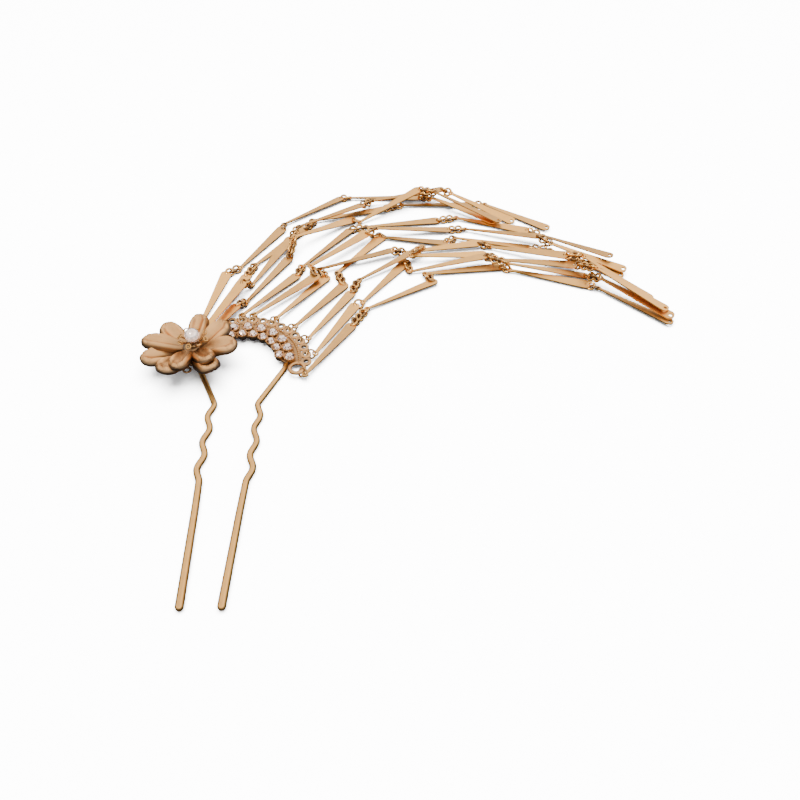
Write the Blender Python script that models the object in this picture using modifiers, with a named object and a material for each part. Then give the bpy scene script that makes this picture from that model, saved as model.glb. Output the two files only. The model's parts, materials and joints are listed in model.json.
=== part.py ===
"""Buyao hairpin lying on a table.

A fork of two waved legs carries a crescent plate with two rows of cut stones and a gallery of small
loops. A flower with a pearl stands on one end of the crescent, and eleven strands of tapered bars hang
from the gallery on small rings. Lengths are metres. The hairpin is laid out round the middle of the
crescent, with its tassels towards +Y and its legs towards -Y, on a table at z = 0. At the end all of
it is moved so that the middle of its base is at the origin.
"""
import math
from collections import namedtuple

import bmesh
import bpy
from mathutils import Matrix, Vector

MM = 0.001

# Fork
WIRE_AT_HEAD = 1.5 * MM
WIRE_AT_TIP = 1.95 * MM
HEAD_SPREAD = 23.2 * MM
WAVE_SPREAD = 12.4 * MM
TIP_SPREAD = 8.9 * MM
SHOULDER_RUN = 13.3 * MM
WAVE_PITCH = 8.7 * MM
WAVE_COUNT = 3
WAVE_HEIGHT = 0.6 * MM
LEG_LENGTH = 74.6 * MM
HEAD_UNDER_PLATE = 3.0 * MM
FORK_OFFSET = 0.6 * MM
FORK_TURN = math.radians(0.9)

# Crescent plate, its stones and its gallery
PLATE_INNER_RADIUS = 9.6 * MM
PLATE_OUTER_RADIUS = 16.9 * MM
PLATE_THICKNESS = 0.8 * MM
PLATE_BITE = 0.15 * MM
PLATE_PAST_HALF = math.radians(6)
GALLERY_RADIUS = 18.0 * MM
GALLERY_PITCH = math.radians(9.4)
GALLERY_LOOPS = 20
LOOP_OUTER_RADIUS = 1.4 * MM
LOOP_HOLE_RADIUS = 0.75 * MM
END_RING_RADIUS = 15.8 * MM
END_RING_PAST_HALF = math.radians(7.8)
END_RING_MEAN_RADIUS = 1.98 * MM
END_RING_WIRE = 0.95 * MM
SMALL_END_RING_RADIUS = 14.3 * MM
SMALL_END_RING_PAST_HALF = math.radians(9.9)
SMALL_END_RING_MEAN_RADIUS = 0.95 * MM
SMALL_END_RING_WIRE = 0.6 * MM
STONE_CLEAR_OF_FLOWER = 9.0 * MM

StoneRow = namedtuple("StoneRow", "name radius first pitch count girdle cup_height")
STONE_ROWS = (
    StoneRow("inner_stone", 10.8 * MM, math.radians(10.5), math.radians(16.5), 10, 1.2 * MM, 1.0 * MM),
    StoneRow("main_stone", 13.6 * MM, math.radians(3.5), math.radians(16.7), 10, 1.5 * MM, 1.2 * MM),
)
STONE_FACETS = 8
CUP_WALL = 0.1 * MM
TABLE_SHARE = 0.55
CROWN_SHARE = 0.45

# Flower
FLOWER_X = -12.6 * MM
FLOWER_Y = 1.0 * MM
POST_RADIUS = 1.2 * MM
POST_HEIGHT = 1.9 * MM
HUB_RADIUS = 2.3 * MM
SHEET = 0.6 * MM
PETAL_ROOT_RADIUS = 1.6 * MM
PETAL_REACH = 12.6 * MM
LOWER_PETAL_WIDTH = 6.0 * MM
UPPER_PETAL_WIDTH = 5.0 * MM
PETAL_RISE = 3.2 * MM
PETAL_CUP = 1.1 * MM
PETAL_ROOT_SHARE = 0.32
PETAL_STAGGER = 0.1 * MM
LAYER_STEP = 2.2 * MM
PEARL_OFF_CENTRE = 1.0 * MM
PEARL_RADIUS = 2.0 * MM
STAMEN_COUNT = 8
STAMEN_REACH = 3.6 * MM
STAMEN_WIRE = 0.5 * MM
STAMEN_CUP_RADIUS = 1.5 * MM
STAMEN_CUP_HEIGHT = 0.8 * MM
PIECE_GAP = 0.3 * MM

# Petals: degrees round the flower, length as a share of the reach, a share of the rise, and the power
# of the distance from the root that it rises with
LOWER_PETALS = ((2, 0.98, 1.0, 0.8), (47, 1.0, 1.0, 1.0), (137, 0.96, 1.0, 1.5),
                (197, 1.08, 0.62, 1.5), (237, 0.95, 1.0, 1.5), (309, 0.97, 1.0, 1.5))
UPPER_PETALS = ((86, 0.98, 0.35, 1.5), (170, 1.11, 0.15, 1.5), (257, 0.82, 0.55, 1.5),
                (312, 0.78, 0.7, 1.5))

# Tassel bars and rings
BAR_LENGTH = 26.0 * MM
BAR_THICKNESS = 0.5 * MM
BAR_WIDE = 3.3 * MM
BAR_NECK = 1.0 * MM
EYE_RADIUS = 0.95 * MM
END_HOLE_INSET = 1.05 * MM
RING_WIRE = 0.6 * MM
RING_RADIUS = 1.0 * MM
HOOK_RING_RADIUS = 1.4 * MM
HOOK_RING_OUT = 0.15 * MM
RING_SIDES = 10
WIRE_SIDES = 5
RING_ROLL = math.radians(40)
FLAT_ROLL = math.radians(15)
REST_HEIGHT = 1.0 * MM
HOLE_PITCH = BAR_LENGTH - EYE_RADIUS - END_HOLE_INSET

# Heights of what is stacked on the table
PLATE_BOTTOM = WIRE_AT_HEAD - PLATE_BITE
PLATE_TOP = PLATE_BOTTOM + PLATE_THICKNESS
GALLERY_Z = PLATE_BOTTOM + PLATE_THICKNESS / 2
POST_TOP = PLATE_TOP + POST_HEIGHT
LOWER_HUB_Z = POST_TOP + PIECE_GAP
UPPER_HUB_Z = LOWER_HUB_Z + LAYER_STEP
STAMEN_Z = UPPER_HUB_Z + SHEET + 4 * PETAL_STAGGER + PIECE_GAP
PEARL_Z = STAMEN_Z + STAMEN_CUP_HEIGHT + PIECE_GAP + PEARL_RADIUS

# Strand routes, chosen by eye. A strand hangs on a gallery loop, counted from the right, or on the
# right end ring, and its hook ring leans by `lean` degrees up from the way out of the crescent.
# `first` is the place of the first eye where a link lies between it and the hook ring, x, y and
# height, and `stops` are the places of the other four eyes, x and y, all in millimetres. `headings`
# are the five bars' own in degrees, and `layers` tell which of two crossing bars lies on top: the
# one with the higher number.
END_RING = -1
Strand = namedtuple("Strand", "name loop lean first stops headings layers")
STRANDS = (
    Strand("a", 14, 0, (-13.8, 17.4, 1.2), ((-6.2, 44.1), (5.0, 68.2), (26.3, 84.3), (54.6, 82.0)),
           (81, 63, 41, 0, -33), (9, 9, 9, 9, 9)),
    Strand("b", 13, 0, None, ((-1.6, 45.6), (15.2, 70.3), (44.4, 79.8), (72.8, 80.2)),
           (71, 55, 17, 1, -36), (8, 8, 8, 8, 8)),
    Strand("c", 15, 120, (-11.2, 9.7, 4.8), ((-1.4, 35.6), (10.6, 63.6), (34.2, 80.9), (61.2, 83.4)),
           (72, 66, 34, 8, -34), (10, 10, 10, 10, 10)),
    Strand("d", 18, 120, (-15.0, 1.8, 3.0), ((-2.0, 27.4), (10.2, 55.4), (30.2, 69.4), (56.0, 80.2)),
           (63.5, 64, 41, 34, -32), (6, 6, 11, 11, 11)),
    Strand("e", 10, 0, None, ((13.4, 45.0), (32.4, 66.6), (62.5, 71.9), (90.4, 61.6)),
           (55, 55, 9, -18, -38), (7, 7, 7, 7, 7)),
    Strand("f", 9, 0, None, ((16.0, 42.2), (35.9, 62.4), (65.2, 65.4), (91.9, 53.9)),
           (46, 46, 6, -18, -29), (6, 6, 6, 6, 6)),
    Strand("g", 7, 0, None, ((18.6, 42.6), (45.2, 52.3), (72.8, 55.2), (101.0, 45.4)),
           (57, 21, 9, -21, -42.5), (5, 5, 5, 5, 5)),
    Strand("h", 5, 0, None, ((24.2, 41.5), (34.6, 61.2), (61.6, 60.3), (91.8, 53.6)),
           (57, 55, -9, -13, -34), (4, 4, 4, 4, 4)),
    Strand("i", 3, 0, None, ((31.2, 38.0), (47.0, 47.4), (74.6, 48.5), (103.5, 38.4)),
           (62.5, 35, 9, -12, -43), (3, 8, 3, 3, 3)),
    Strand("j", 1, 0, None, ((32.6, 27.2), (46.8, 42.2), (77.2, 43.4), (104.5, 36.0)),
           (65, 57, 12, -8, -42), (2, 2, 2, 2, 2)),
    Strand("k", END_RING, 0, None, ((34.0, 24.2), (51.4, 41.0), (77.9, 43.0), (103.8, 34.0)),
           (61, 33, 9, -18, -41), (1, 1, 1, 1, 1)),
)

# How the strands come to lie on each other
BAR_OVER_BAR = 0.9 * MM
LINK_OVER_BAR = 1.5 * MM
LINK_OVER_LINK = 2.2 * MM
BAR_OVER_PLATE = 0.65 * MM
SETTLE_STEPS = 400
SETTLE_DROP = 0.02 * MM
SETTLE_TILT = 0.6
SPAN_SAMPLES = 9

ROSE_GOLD = ("rose_gold", (0.72, 0.46, 0.31), 0.34, 1.0)
PEARL = ("pearl_white", (0.9, 0.84, 0.78), 0.25, 0.0)


def clear_scene():
    """Empties the scene of its objects."""
    for thing in list(bpy.data.objects):
        bpy.data.objects.remove(thing)


def new_collection(name):
    """A collection in the scene."""
    made = bpy.data.collections.new(name)
    bpy.context.scene.collection.children.link(made)
    return made


def new_material(name, colour, roughness, metallic):
    """A plain material of one colour."""
    made = bpy.data.materials.new(name)
    made.use_nodes = True
    shader = made.node_tree.nodes["Principled BSDF"]
    shader.inputs["Base Color"].default_value = (*colour, 1.0)
    shader.inputs["Roughness"].default_value = roughness
    shader.inputs["Metallic"].default_value = metallic
    made.diffuse_color = (*colour, 1.0)
    return made


def place(name, mesh, collection, matrix=None):
    """An object of this mesh in a collection."""
    thing = bpy.data.objects.new(name, mesh)
    collection.objects.link(thing)
    if matrix is not None:
        thing.matrix_world = matrix
    return thing


def as_mesh(thing):
    """The mesh that an object evaluates to, in the scene's frame and welded. The object is removed."""
    bpy.context.view_layer.update()
    depsgraph = bpy.context.evaluated_depsgraph_get()
    mesh = bpy.data.meshes.new_from_object(thing.evaluated_get(depsgraph))
    mesh.transform(thing.matrix_world)
    bpy.data.objects.remove(thing)
    shape = bmesh.new()
    shape.from_mesh(mesh)
    bmesh.ops.remove_doubles(shape, verts=shape.verts, dist=0.001 * MM)
    shape.to_mesh(mesh)
    shape.free()
    return mesh


def tube(points, radii, resolution):
    """A wire with filled ends through some points, as a mesh."""
    curve = bpy.data.curves.new("wire", "CURVE")
    curve.dimensions = "3D"
    curve.bevel_depth = 1.0
    curve.bevel_resolution = resolution
    curve.use_fill_caps = True
    line = curve.splines.new("POLY")
    line.points.add(len(points) - 1)
    for point, place_of, radius in zip(line.points, points, radii):
        point.co = (*place_of, 1.0)
        point.radius = radius
    return as_mesh(place("wire", curve, bpy.context.scene.collection))


def flat_piece(outlines, thickness, middle=0.0):
    """A flat plate with these outlines, the first round it and the others its holes."""
    curve = bpy.data.curves.new("outline", "CURVE")
    curve.dimensions = "2D"
    curve.fill_mode = "BOTH"
    curve.extrude = thickness / 2
    for outline in outlines:
        line = curve.splines.new("POLY")
        line.points.add(len(outline) - 1)
        line.use_cyclic_u = True
        for point, (x, y) in zip(line.points, outline):
            point.co = (x, y, 0.0, 1.0)
    lift = Matrix.Translation((0, 0, middle))
    return as_mesh(place("outline", curve, bpy.context.scene.collection, lift))


def turned(profile, steps):
    """A solid of revolution from (radius, height) pairs, given from its top to its bottom."""
    mesh = bpy.data.meshes.new("profile")
    mesh.from_pydata([(r, 0.0, z) for r, z in profile], [(i, i + 1) for i in range(len(profile) - 1)], [])
    thing = place("profile", mesh, bpy.context.scene.collection)
    screw = thing.modifiers.new("turn", "SCREW")
    screw.steps = steps
    screw.render_steps = steps
    screw.use_merge_vertices = True
    screw.merge_threshold = 0.001 * MM
    screw.use_normal_calculate = False
    return as_mesh(thing)


def ring(radius, wire, sides, wire_sides, stretch=0.0):
    """A ring in the XY plane, pulled out along X by `stretch` where it is an oval link."""
    bpy.ops.mesh.primitive_torus_add(major_segments=sides, minor_segments=wire_sides,
                                     major_radius=radius, minor_radius=wire / 2)
    mesh = as_mesh(bpy.context.active_object)
    for vertex in mesh.vertices:
        vertex.co.x += math.copysign(stretch / 2, vertex.co.x)
    return mesh


def ball(radius, segments, rings):
    """A round bead."""
    mesh = bpy.data.meshes.new("ball")
    shape = bmesh.new()
    bmesh.ops.create_uvsphere(shape, u_segments=segments, v_segments=rings, radius=radius)
    shape.to_mesh(mesh)
    shape.free()
    return mesh


def disc(radius, height, segments, bottom):
    """A short cylinder standing on `bottom`."""
    mesh = bpy.data.meshes.new("disc")
    shape = bmesh.new()
    bmesh.ops.create_cone(shape, cap_ends=True, segments=segments, radius1=radius, radius2=radius,
                          depth=height, matrix=Matrix.Translation((0, 0, bottom + height / 2)))
    shape.to_mesh(mesh)
    shape.free()
    return mesh


def join(name, body, pieces, parts, cutters):
    """One node: `body` with `pieces` joined to it, each piece a (mesh, matrix) pair."""
    node = place(name, body[0], parts, body[1])
    group = bpy.data.collections.new(name + "_pieces")
    cutters.children.link(group)
    for count, (mesh, matrix) in enumerate(pieces):
        piece = place("%s_piece_%d" % (name, count), mesh, group, matrix)
        piece.hide_render = True
        piece.display_type = "WIRE"
    union = node.modifiers.new("soldered", "BOOLEAN")
    union.operation = "UNION"
    union.operand_type = "COLLECTION"
    union.collection = group
    union.solver = "EXACT"
    return node


def along(start, end, roll):
    """Turns and moves a piece made along +X from its own origin so that it points from start to end."""
    forward = (end - start).normalized()
    side = Vector((0, 0, 1)).cross(forward).normalized()
    up = forward.cross(side)
    frame = Matrix((forward, side, up)).transposed().to_4x4()
    return Matrix.Translation(start) @ frame @ Matrix.Rotation(roll, 4, "X")


def polar(radius, angle, z=0.0):
    """The point at this radius and angle round the crescent's middle."""
    return Vector((radius * math.cos(angle), radius * math.sin(angle), z))


def gallery_angle(loop):
    """The angle of a gallery loop, counted from the right."""
    return math.pi / 2 + (loop - (GALLERY_LOOPS - 1) / 2) * GALLERY_PITCH


def end_ring_middle():
    """The middle of the ring at the right end of the crescent."""
    return polar(END_RING_RADIUS, -END_RING_PAST_HALF, GALLERY_Z)


def small_end_ring_middle():
    """The middle of the small ring at the left end of the crescent."""
    return polar(SMALL_END_RING_RADIUS, math.pi + SMALL_END_RING_PAST_HALF, GALLERY_Z)


def leg_line():
    """Points along the middle of the right leg, from its head to its tip, and the wire's radius at each.

    A straight shoulder runs in to the waves. Each wave is a cosine, and the tip is rounded off by
    three points whose radius follows a quarter circle.
    """
    samples = 5
    wave_top = -SHOULDER_RUN - 1.2 * MM
    wave_bottom = wave_top - WAVE_COUNT * WAVE_PITCH
    line = [(HEAD_SPREAD / 2 + 0.5 * MM, HEAD_UNDER_PLATE), (HEAD_SPREAD / 2, -1.2 * MM)]
    for step in range(WAVE_COUNT * samples + 1):
        turn = step / samples
        x = WAVE_SPREAD / 2 - WAVE_HEIGHT * math.cos(2 * math.pi * turn)
        line.append((x, wave_top - turn * WAVE_PITCH))
    dome = WIRE_AT_TIP / 2
    line.append((TIP_SPREAD / 2 + (WAVE_SPREAD - TIP_SPREAD) / 2 * 0.45, wave_bottom - 8.0 * MM))
    ends = [(x, y, 1.0) for x, y in line]
    for share in (0.0, 0.7, 1.0):
        ends.append((TIP_SPREAD / 2, -LEG_LENGTH + dome * (1 - share), math.sqrt(1.04 - share * share)))
    points, radii = [], []
    for x, y, shrink in ends:
        down = min(1.0, max(0.0, -y / LEG_LENGTH))
        full = (WIRE_AT_HEAD + (WIRE_AT_TIP - WIRE_AT_HEAD) * down) / 2
        points.append(Vector((x, y, full)))
        radii.append(full * min(1.0, shrink))
    return points, radii


def crescent_outlines():
    """The plate's outline with its scalloped gallery, and the gallery's holes."""
    loop_points = 5
    hole_points = 7
    start, end = -PLATE_PAST_HALF, math.pi + PLATE_PAST_HALF
    outer = [polar(PLATE_INNER_RADIUS, start), polar(PLATE_OUTER_RADIUS, start)]
    holes = []
    for loop in range(GALLERY_LOOPS):
        angle = gallery_angle(loop)
        middle = polar(GALLERY_RADIUS, angle)
        for step in range(loop_points):
            turn = angle + math.radians(-100 + 200 * step / (loop_points - 1))
            outer.append(middle + polar(LOOP_OUTER_RADIUS, turn))
        if loop < GALLERY_LOOPS - 1:
            outer.append(polar(PLATE_OUTER_RADIUS, angle + GALLERY_PITCH / 2))
        holes.append([middle + polar(LOOP_HOLE_RADIUS, angle + 2 * math.pi * step / hole_points)
                      for step in range(hole_points)])
    outer.append(polar(PLATE_OUTER_RADIUS, end))
    inner_points = 16
    for step in range(inner_points):
        outer.append(polar(PLATE_INNER_RADIUS, end + (start - end) * step / inner_points))
    return [[(p.x, p.y) for p in outline] for outline in [outer] + holes]


def stone_profile(row):
    """A cut stone in its cup, from the stone's table down into the plate, as (radius, height) pairs."""
    rim = PLATE_TOP + row.cup_height
    return ((0.0, rim + row.girdle * CROWN_SHARE),
            (row.girdle * TABLE_SHARE, rim + row.girdle * CROWN_SHARE),
            (row.girdle + CUP_WALL, rim),
            (row.girdle - 2 * CUP_WALL, PLATE_BOTTOM + PLATE_THICKNESS / 2),
            (0.0, PLATE_BOTTOM + PLATE_THICKNESS / 2))


def stone_places(row):
    """Where a row's stones stand, apart from those that the flower's foot takes the place of."""
    flower = Vector((FLOWER_X, FLOWER_Y, 0.0))
    places = []
    for count in range(row.count):
        spot = polar(row.radius, row.first + count * row.pitch)
        if (spot - flower).length > STONE_CLEAR_OF_FLOWER:
            places.append(spot)
    return places


def make_frame(parts, cutters):
    """The soldered frame: fork, crescent plate, gallery, end rings, set stones and the flower's post."""
    turn = Matrix.Rotation(FORK_TURN, 4, "Z")
    plate = flat_piece(crescent_outlines(), PLATE_THICKNESS, GALLERY_Z)
    pieces = []
    points, radii = leg_line()
    for side in (1, -1):
        line = [Vector((side * p.x + FORK_OFFSET, p.y, p.z)) for p in points]
        pieces.append((tube(line, radii, 2), turn))
    end_ring = ring(END_RING_MEAN_RADIUS, END_RING_WIRE, 10, 5)
    pieces.append((end_ring, turn @ Matrix.Translation(end_ring_middle())))
    end_ring = ring(SMALL_END_RING_MEAN_RADIUS, SMALL_END_RING_WIRE, 10, 5)
    pieces.append((end_ring, turn @ Matrix.Translation(small_end_ring_middle())))
    for row in STONE_ROWS:
        stone = turned(stone_profile(row), STONE_FACETS)
        pieces += [(stone, turn @ Matrix.Translation(spot)) for spot in stone_places(row)]
    post = disc(POST_RADIUS, POST_TOP - GALLERY_Z, 10, GALLERY_Z)
    pieces.append((post, Matrix.Translation((FLOWER_X, FLOWER_Y, 0.0))))
    return join("hairpin_frame", (plate, turn), pieces, parts, cutters)


def petal(reach, width, rise, power):
    """A spoon-shaped petal along +X, made flat on its root.

    With u from root to tip and v across, its half width is W (a + (1 - a) sin(pi u^1.35)), its
    height rises with a power of u, and its sides turn up by the cup times v^2 sin(pi u^1.35).
    """
    rows, columns = 4, 3
    mesh = bpy.data.meshes.new("petal")
    shape = bmesh.new()
    bmesh.ops.create_grid(shape, x_segments=rows, y_segments=columns, size=0.5)
    for vertex in shape.verts:
        u, v = vertex.co.x + 0.5, 2 * vertex.co.y
        swell = math.sin(math.pi * u ** 1.35)
        half = width / 2 * (PETAL_ROOT_SHARE + (1 - PETAL_ROOT_SHARE) * swell)
        vertex.co = (PETAL_ROOT_RADIUS + (reach - PETAL_ROOT_RADIUS) * u, half * v,
                     rise * u ** power + PETAL_CUP * v * v * swell)
    shape.to_mesh(mesh)
    shape.free()
    thing = place("petal", mesh, bpy.context.scene.collection)
    wall = thing.modifiers.new("wall", "SOLIDIFY")
    wall.thickness = SHEET
    wall.offset = 1.0
    return as_mesh(thing)


def make_petals(name, table, width, hub_z, parts, cutters):
    """One layer of petals on its round hub, each petal a little higher or lower than its neighbours."""
    hub = disc(HUB_RADIUS, SHEET + 4 * PETAL_STAGGER, 12, hub_z)
    stand = Matrix.Translation((FLOWER_X, FLOWER_Y, 0.0))
    pieces = []
    for count, (degrees, share, rise, power) in enumerate(table):
        turn = Matrix.Rotation(math.radians(degrees), 4, "Z")
        lift = Matrix.Translation((0, 0, hub_z + (0.5 + count % 3) * PETAL_STAGGER))
        shape = petal(PETAL_REACH * share, width, PETAL_RISE * rise, power)
        pieces.append((shape, stand @ lift @ turn))
    return join(name, (hub, stand), pieces, parts, cutters)


def make_stamens(parts, cutters):
    """The pearl's cup with curled wires round it."""
    stand = Matrix.Translation((FLOWER_X + PEARL_OFF_CENTRE, FLOWER_Y, 0.0))
    cup = disc(STAMEN_CUP_RADIUS, STAMEN_CUP_HEIGHT, 10, STAMEN_Z)
    middle = STAMEN_Z + STAMEN_CUP_HEIGHT / 2
    curl = ((0.2, 0.0), (0.75, 0.25), (1.0, 0.55))
    line = [Vector((STAMEN_REACH * r, 0.0, middle + STAMEN_REACH * z)) for r, z in curl]
    wire = tube(line, [STAMEN_WIRE / 2] * len(line), 0)
    pieces = []
    for count in range(STAMEN_COUNT):
        turn = Matrix.Rotation(2 * math.pi * (count + 0.5) / STAMEN_COUNT, 4, "Z")
        pieces.append((wire, stand @ turn))
    return join("flower_stamens", (cup, stand), pieces, parts, cutters)


def make_pearl(parts):
    """The pearl over its cup."""
    stand = Matrix.Translation((FLOWER_X + PEARL_OFF_CENTRE, FLOWER_Y, PEARL_Z))
    return place("pearl", ball(PEARL_RADIUS, 12, 7), parts, stand)


def bar_outline():
    """A bar's outline: a round eye about the origin, a neck, and sides that spread to a round end."""
    turns = map(math.radians, (70, 145, 215, 290))
    eye = [(EYE_RADIUS * math.cos(turn), EYE_RADIUS * math.sin(turn)) for turn in turns]
    end = HOLE_PITCH + END_HOLE_INSET
    side = [(1.25 * EYE_RADIUS, BAR_NECK / 2), (end - 0.5 * BAR_WIDE, BAR_WIDE / 2), (end, 0.27 * BAR_WIDE)]
    return eye + [(x, -y) for x, y in side] + [(x, y) for x, y in reversed(side)]


def hook_point(strand):
    """The middle of a strand's hook ring, the way out from its loop, and the ring's far side."""
    if strand.loop == END_RING:
        out = Vector((math.cos(math.radians(-47)), math.sin(math.radians(-47)), 0.0))
        rim = end_ring_middle() + out * (END_RING_MEAN_RADIUS + HOOK_RING_OUT)
    else:
        angle = gallery_angle(strand.loop)
        out = polar(1.0, angle)
        wall_middle = GALLERY_RADIUS + (LOOP_OUTER_RADIUS + LOOP_HOLE_RADIUS) / 2
        rim = polar(wall_middle + HOOK_RING_OUT, angle, GALLERY_Z)
    turn = Matrix.Rotation(FORK_TURN, 4, "Z")
    rim, out = turn @ rim, turn @ out
    lean = math.radians(strand.lean)
    far = rim + HOOK_RING_RADIUS * (math.cos(lean) * out + math.sin(lean) * Vector((0, 0, 1)))
    return rim, out, far


def route(strand):
    """The points that a strand runs through, seen from above: its hook, then each bar's two holes."""
    far = hook_point(strand)[2]
    eyes = [far] if strand.first is None else [Vector(strand.first) * MM]
    eyes += [Vector((*stop, 0.0)) * MM for stop in strand.stops]
    points = [] if strand.first is None else [far.copy()]
    for eye, degrees in zip(eyes, strand.headings):
        points += [eye.copy(), eye + polar(HOLE_PITCH, math.radians(degrees))]
    for point in points[held(strand):]:
        point.z = REST_HEIGHT
    return points


def held(strand):
    """How many of a strand's first points stay as they are."""
    return 1 if strand.first is None else 2


def spans(number, strand, points):
    """A strand's bars and links: the strand's number, where each starts, its layer, if it is a bar.

    A link lies as high as the upper one of its two bars.
    """
    shift = len(points) % 2
    found = []
    for index in range(len(points) - 1):
        bar = (index + 1 - shift) // 2
        is_bar = index % 2 == shift
        layer = strand.layers[bar] if is_bar else max(strand.layers[max(0, bar - 1):bar + 1])
        found.append((number, index, layer, is_bar))
    return found


def half_width(is_bar, share):
    """Half the width of a bar or a link at a share of its length."""
    if not is_bar:
        return RING_RADIUS * math.cos(RING_ROLL) + RING_WIRE / 2
    side = BAR_NECK / 2 + (BAR_WIDE - BAR_NECK) / 2 * min(1.0, share * 1.1)
    return max(EYE_RADIUS * (1 - 4 * share), side)


def crossings(routes):
    """Where one strand lies over another: upper span and share of it, lower span and share, and gap.

    Samples along each span are dropped square on to every span of the other strands, seen from
    above. A sample that comes nearer than the two half widths is a crossing.
    """
    everything = []
    for number, (strand, points) in enumerate(zip(STRANDS, routes)):
        everything += spans(number, strand, points)
    gaps = {2: BAR_OVER_BAR, 1: LINK_OVER_BAR, 0: LINK_OVER_LINK}
    found = []
    for one in everything:
        a, b = (routes[one[0]][one[1] + step].to_2d() for step in (0, 1))
        for other in everything:
            if other[0] == one[0]:
                continue
            c, d = (routes[other[0]][other[1] + step].to_2d() for step in (0, 1))
            gap = gaps[one[3] + other[3]]
            for sample in range(SPAN_SAMPLES):
                share = sample / (SPAN_SAMPLES - 1)
                spot = a.lerp(b, share)
                across = min(1.0, max(0.0, (spot - c).dot(d - c) / (d - c).length_squared))
                near = (spot - c.lerp(d, across)).length
                if near > half_width(one[3], share) + half_width(other[3], across) + PIECE_GAP / 2:
                    continue
                if (one[2], one[0]) > (other[2], other[0]):
                    found.append((one[:2], share, other[:2], across, gap))
                else:
                    found.append((other[:2], across, one[:2], share, gap))
    return found


def height_at(routes, span, share):
    """The height of a strand at a share of one of its spans."""
    points = routes[span[0]]
    return points[span[1]].z * (1 - share) + points[span[1] + 1].z * share


def shove(routes, span, share, amount):
    """Moves a strand up by an amount at a share of one of its spans, apart from its held points."""
    points = routes[span[0]]
    free = held(STRANDS[span[0]])
    if span[1] >= free:
        tilt = SETTLE_TILT * (2 * share - 1)
        moves = ((span[1], 1 - tilt), (span[1] + 1, 1 + tilt))
        amount /= 1 + tilt * (2 * share - 1)
    elif span[1] + 1 == free and share > 0.3:
        moves = ((span[1] + 1, 1 / share),)
    else:
        return
    for index, weight in moves:
        points[index].z = max(REST_HEIGHT, points[index].z + amount * weight)


def keep_off_plate(routes):
    """Raises the bars and links that lie on the crescent until they clear it."""
    reach = GALLERY_RADIUS + LOOP_OUTER_RADIUS
    for number, (strand, points) in enumerate(zip(STRANDS, routes)):
        if strand.lean == 0:
            continue
        for _, index, _, is_bar in spans(number, strand, points)[1:]:
            least = PLATE_TOP + (BAR_OVER_PLATE if is_bar else BAR_OVER_PLATE + LINK_OVER_BAR - BAR_OVER_BAR)
            for sample in range(SPAN_SAMPLES):
                share = sample / (SPAN_SAMPLES - 1)
                spot = points[index].lerp(points[index + 1], share)
                lack = least - spot.z
                if spot.to_2d().length < reach + half_width(is_bar, share) and lack > 0:
                    shove(routes, (number, index), share, lack)


def settle():
    """Lays the strands on the table and on each other, and gives the points that each runs through.

    In each step everything sinks a little, then each strand that lies too low on another is pushed
    up by half of what is missing and the other one down. The last steps only push up.
    """
    routes = [route(strand) for strand in STRANDS]
    contacts = crossings(routes)
    for step in range(SETTLE_STEPS):
        sinking = step < SETTLE_STEPS * 0.75
        if sinking:
            for strand, points in zip(STRANDS, routes):
                for point in points[held(strand):]:
                    point.z = max(REST_HEIGHT, point.z - SETTLE_DROP)
        for upper, high_share, lower, low_share, gap in contacts:
            lack = height_at(routes, lower, low_share) + gap - height_at(routes, upper, high_share)
            if lack > 0:
                shove(routes, upper, high_share, lack * (0.5 if sinking else 1.0))
                if sinking:
                    shove(routes, lower, low_share, -lack * 0.5)
        keep_off_plate(routes)
    return routes


def link(start, end, roll):
    """An oval link whose wire passes through two holes."""
    length = (end - start).length
    stretch = max(0.0, length - 2 * RING_RADIUS)
    mesh = ring(RING_RADIUS, RING_WIRE, RING_SIDES, WIRE_SIDES, stretch)
    return mesh, along((start + end) / 2, end, roll)


def make_strand(strand, points, bar, parts, cutters):
    """One tassel strand: five bars joined by links, hooked on its loop by a ring."""
    rim, out, far = hook_point(strand)
    hook = ring(HOOK_RING_RADIUS, RING_WIRE, RING_SIDES, WIRE_SIDES)
    pieces = [(hook, along(rim, rim + out, math.pi / 2))]
    bars = []
    for number, index, _, is_bar in spans(0, strand, points):
        start, end = points[index], points[index + 1]
        if is_bar:
            level = (end - start).to_2d().normalized() * math.sqrt(HOLE_PITCH ** 2 - (end.z - start.z) ** 2)
            bars.append((bar, along(start, start + Vector((*level, end.z - start.z)), 0.0)))
            points[index + 1] = start + Vector((*level, end.z - start.z))
        else:
            roll = RING_ROLL if index % 4 < 2 else -RING_ROLL
            if index == 0 and strand.lean:
                roll = FLAT_ROLL
            pieces.append(link(start, end, roll))
    return join("tassel_strand_" + strand.name, bars[0], pieces + bars[1:], parts, cutters)


def finish(nodes, parts):
    """Gives the nodes their materials and moves them so that the middle of the base is at the origin."""
    gold, pearl = new_material(*ROSE_GOLD), new_material(*PEARL)
    low, high = [math.inf] * 3, [-math.inf] * 3
    bpy.context.view_layer.update()
    depsgraph = bpy.context.evaluated_depsgraph_get()
    for node in nodes:
        node.data.materials.clear()
        node.data.materials.append(pearl if node.name == "pearl" else gold)
        shape = node.evaluated_get(depsgraph)
        for vertex in shape.to_mesh().vertices:
            spot = node.matrix_world @ vertex.co
            low = [min(a, b) for a, b in zip(low, spot)]
            high = [max(a, b) for a, b in zip(high, spot)]
        shape.to_mesh_clear()
    middle = bpy.data.objects.new("crescent_middle", None)
    parts.objects.link(middle)
    for thing in list(bpy.data.objects):
        if thing is not middle:
            thing.parent = middle
    middle.location = (-(low[0] + high[0]) / 2, -(low[1] + high[1]) / 2, -low[2])


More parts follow.
